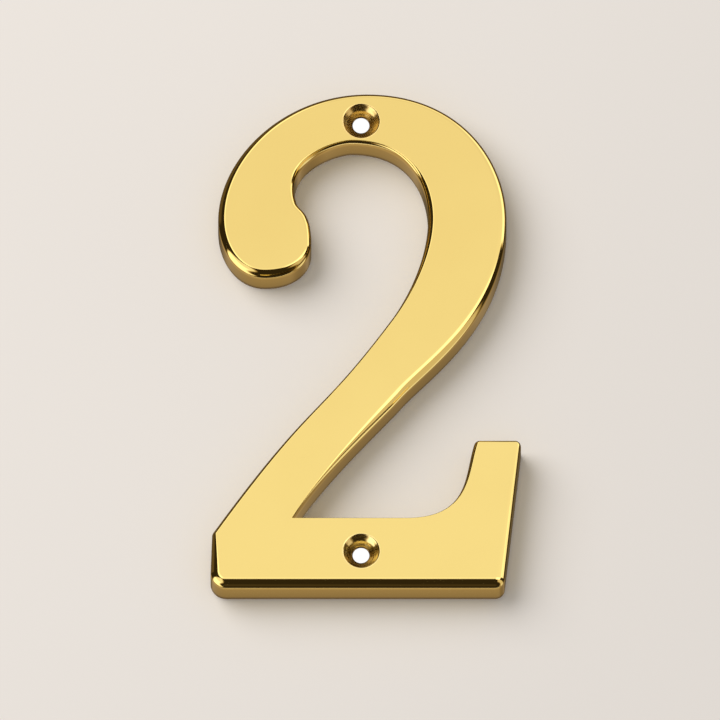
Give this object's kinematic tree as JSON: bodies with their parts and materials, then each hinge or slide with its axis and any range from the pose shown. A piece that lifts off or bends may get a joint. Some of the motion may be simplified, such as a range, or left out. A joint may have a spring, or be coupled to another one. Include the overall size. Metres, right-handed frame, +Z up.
{
  "type": "house number",
  "caption": "Polished brass-plated cast numeral two with a rounded front edge, a hollow back and countersunk screw holes, for fixing to a door or wall.",
  "frame": {"origin": "midway between the two screw holes, in the plane where they open into the hollow back", "axes": "+X to the right and +Z up as the numeral is read; the front faces -Y and the back rim, 4.6 mm behind the origin, faces +Y"},
  "size_m": [0.0593, 0.0071, 0.1017],
  "materials": {
    "plated_zinc": "polished plating on zinc"
  },
  "bodies": {
    "root": {"numeral_casting": "plated_zinc"}
  },
  "joints": []
}
